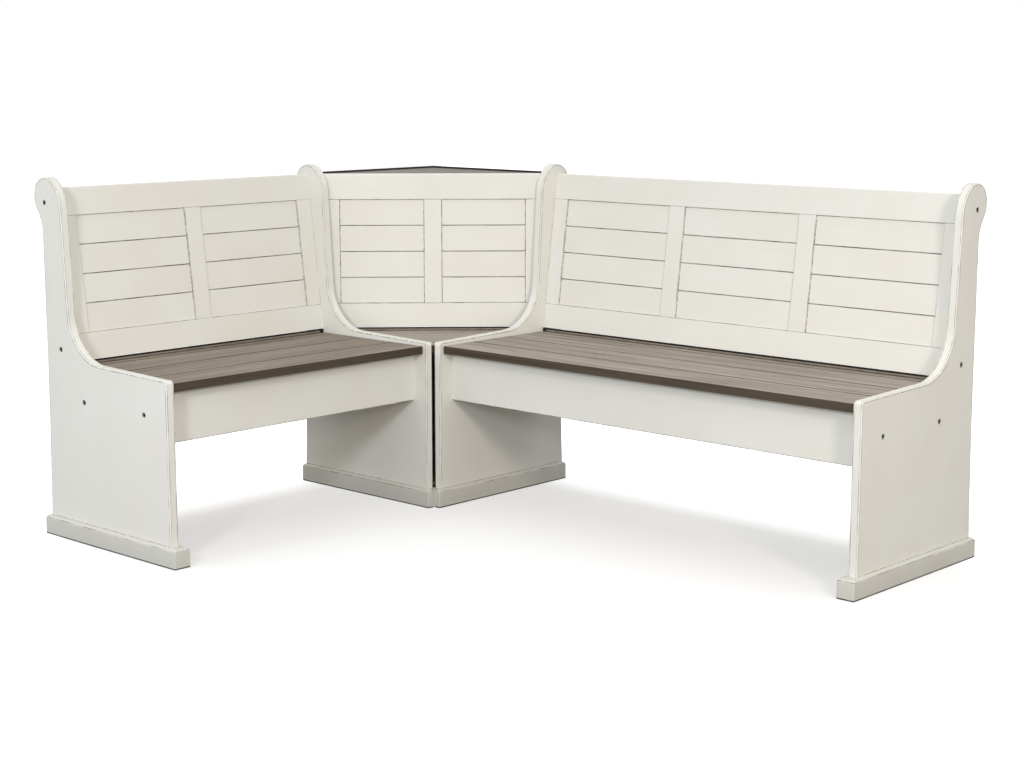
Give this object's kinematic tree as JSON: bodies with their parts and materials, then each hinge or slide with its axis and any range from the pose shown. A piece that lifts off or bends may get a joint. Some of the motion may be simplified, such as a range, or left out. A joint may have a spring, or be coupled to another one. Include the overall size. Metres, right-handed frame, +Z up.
{
  "type": "corner storage bench",
  "caption": "L-shaped dining bench for a room corner, with scroll-end panels, reclined plank backrests, a corner seat and storage boxes under hinged seats.",
  "frame": {"origin": "on the floor under the middle of the whole outline's box", "axes": "+X along the long bench away from the room corner, +Y towards the wall behind the long bench, +Z up"},
  "size_m": [2.0134, 1.5184, 0.9749],
  "materials": {
    "painted_wood": "antique white paint, matt, edges rubbed through, dark glaze left in the joints",
    "stained_wood": "grey-brown stain with visible grain, satin lacquer",
    "inner_wood": "plain sanded plywood and pine, sealed",
    "hinge_metal": "dark bronzed steel strip",
    "bolt_black": "black oxide",
    "nut_zinc": "zinc plated"
  },
  "bodies": {
    "frame": {"barrel_nuts": "nut_zinc", "box_nuts": "nut_zinc", "connector_bolts": "bolt_black", "corner_bottom_rail": "painted_wood", "corner_box_back": "inner_wood", "corner_box_floor": "inner_wood", "corner_foot_left": "painted_wood", "corner_foot_right": "painted_wood", "corner_hinge_frame_leaf": "hinge_metal", "corner_mullions": "painted_wood", "corner_panel_left": "painted_wood", "corner_panel_right": "painted_wood", "corner_planks_1": "painted_wood", "corner_planks_2": "painted_wood", "corner_seat_cleats": "inner_wood", "corner_shelf": "stained_wood", "corner_shelf_rails": "stained_wood", "corner_stiles": "painted_wood", "corner_top_rail": "painted_wood", "hinge_pins": "hinge_metal", "left_end_panel": "painted_wood", "left_foot": "painted_wood", "long_apron": "painted_wood", "long_bottom_rail": "painted_wood", "long_box_back": "inner_wood", "long_box_cleats": "inner_wood", "long_box_ends": "inner_wood", "long_box_floor": "inner_wood", "long_hinge_frame_leaf": "hinge_metal", "long_mullions": "painted_wood", "long_planks_1": "painted_wood", "long_planks_2": "painted_wood", "long_planks_3": "painted_wood", "long_stiles": "painted_wood", "long_top_rail": "painted_wood", "right_end_panel": "painted_wood", "right_foot": "painted_wood", "short_apron": "painted_wood", "short_bottom_rail": "painted_wood", "short_box_back": "inner_wood", "short_box_cleats": "inner_wood", "short_box_ends": "inner_wood", "short_box_floor": "inner_wood", "short_hinge_frame_leaf": "hinge_metal", "short_mullions": "painted_wood", "short_planks_1": "painted_wood", "short_planks_2": "painted_wood", "short_stiles": "painted_wood", "short_top_rail": "painted_wood"},
    "long_seat": {"long_seat_strip": "stained_wood", "long_seat_boards": "stained_wood", "long_seat_battens": "inner_wood", "long_hinge_seat_leaf": "hinge_metal"},
    "short_seat": {"short_seat_strip": "stained_wood", "short_seat_boards": "stained_wood", "short_seat_battens": "inner_wood", "short_hinge_seat_leaf": "hinge_metal"},
    "corner_seat": {"corner_seat_board": "stained_wood", "corner_seat_batten": "inner_wood", "corner_hinge_seat_leaf": "hinge_metal"}
  },
  "joints": [
    {"name": "long_seat_hinge", "type": "hinge", "parent": "frame", "child": "long_seat", "pos_m": [0.27475, 0.63861, 0.4755], "axis": [-1, 0, 0], "range_deg": [0, 97]},
    {"name": "short_seat_hinge", "type": "hinge", "parent": "frame", "child": "short_seat", "pos_m": [-0.88611, -0.27475, 0.4755], "axis": [0, -1, 0], "range_deg": [0, 97]},
    {"name": "corner_seat_hinge", "type": "hinge", "parent": "frame", "child": "corner_seat", "pos_m": [-0.67124, 0.42374, 0.4755], "axis": [-0.7071, -0.7071, 0], "range_deg": [0, 91]}
  ]
}
